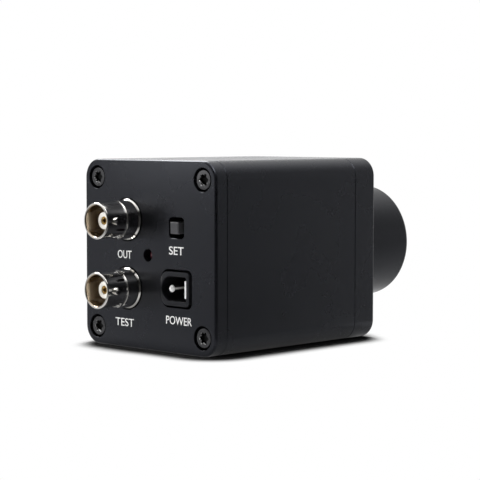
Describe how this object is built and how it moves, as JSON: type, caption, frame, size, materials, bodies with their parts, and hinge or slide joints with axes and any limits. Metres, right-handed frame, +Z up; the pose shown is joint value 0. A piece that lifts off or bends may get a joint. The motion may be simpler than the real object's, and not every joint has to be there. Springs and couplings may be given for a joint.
{
  "type": "box camera",
  "caption": "Small square box camera with a fixed round lens in front, and coaxial video jacks, a menu stick, a status lamp and a power inlet on its rear cover.",
  "frame": {"origin": "mouth of the tripod thread, in the middle of the casing's floor", "axes": "+X to the right seen from behind, +Y along the optical axis out of the lens, +Z up"},
  "size_m": [0.05, 0.1, 0.05],
  "materials": {
    "black_anodised": "satin",
    "lens_black": "satin",
    "screw_black": "satin",
    "steel": "satin",
    "nickel_plate": "polished",
    "white_insulator": "matte",
    "gilt_contact": "polished",
    "brass_pillar": "satin",
    "black_moulding": "matte",
    "grey_stem": "satin",
    "lamp_red": "gloss",
    "lens_glass": "polished",
    "filter_glass": "polished",
    "board_green": "satin",
    "chip_black": "matte",
    "flex_film": "satin"
  },
  "bodies": {
    "camera": {"body_sleeve": "black_anodised", "rear_cover": "black_anodised", "front_cover": "black_anodised", "lens_barrel": "lens_black", "front_ring": "lens_black", "rear_ring": "lens_black", "lens_spacer": "lens_black", "rear_cover_screws": "screw_black", "front_cover_screws": "screw_black", "tripod_nut": "steel", "dc_pin": "steel", "dc_leaf": "steel", "stick_cover": "steel", "stick_dome": "steel", "port_board_screws": "steel", "main_board_screws": "steel", "bnc_shell_upper": "nickel_plate", "bnc_shell_lower": "nickel_plate", "bnc_insulator_upper": "white_insulator", "bnc_insulator_lower": "white_insulator", "bnc_contact_upper": "gilt_contact", "bnc_contact_lower": "gilt_contact", "port_board_pillars": "brass_pillar", "front_pillars": "brass_pillar", "middle_pillars": "brass_pillar", "dc_housing": "black_moulding", "stick_base": "black_moulding", "lamp_spacer": "black_moulding", "filter_frame": "black_moulding", "link_plug": "black_moulding", "link_receptacle": "black_moulding", "sensor_flex_socket": "black_moulding", "main_flex_socket": "black_moulding", "aperture_stop": "black_moulding", "status_lamp": "lamp_red", "front_element": "lens_glass", "middle_element": "lens_glass", "rear_element": "lens_glass", "sensor_glass": "lens_glass", "ir_cut_filter": "filter_glass", "port_board": "board_green", "main_board": "board_green", "sensor_board": "board_green", "image_processor": "chip_black", "memory_chip": "chip_black", "power_inductor": "chip_black", "video_driver": "chip_black", "image_sensor": "chip_black", "flex_cable": "flex_film"},
    "swing_frame": {"swing_frame": "grey_stem"},
    "rocker": {"rocker": "grey_stem"},
    "stem": {"stem": "grey_stem"}
  },
  "joints": [
    {"name": "stick_swing", "type": "hinge", "parent": "camera", "child": "swing_frame", "pos_m": [0.01065, -0.02325, 0.0326], "axis": [0, 0, 1], "range_deg": [-5, 5], "stiffness_Nm_per_rad": 0.12},
    {"name": "stick_nod", "type": "hinge", "parent": "swing_frame", "child": "rocker", "pos_m": [0.01065, -0.02325, 0.0326], "axis": [1, 0, 0], "range_deg": [-5, 5], "stiffness_Nm_per_rad": 0.12},
    {"name": "stick_press", "type": "slide", "parent": "rocker", "child": "stem", "axis": [0, 1, 0], "range_m": [0, 0.00025], "stiffness_N_per_m": 8000}
  ]
}
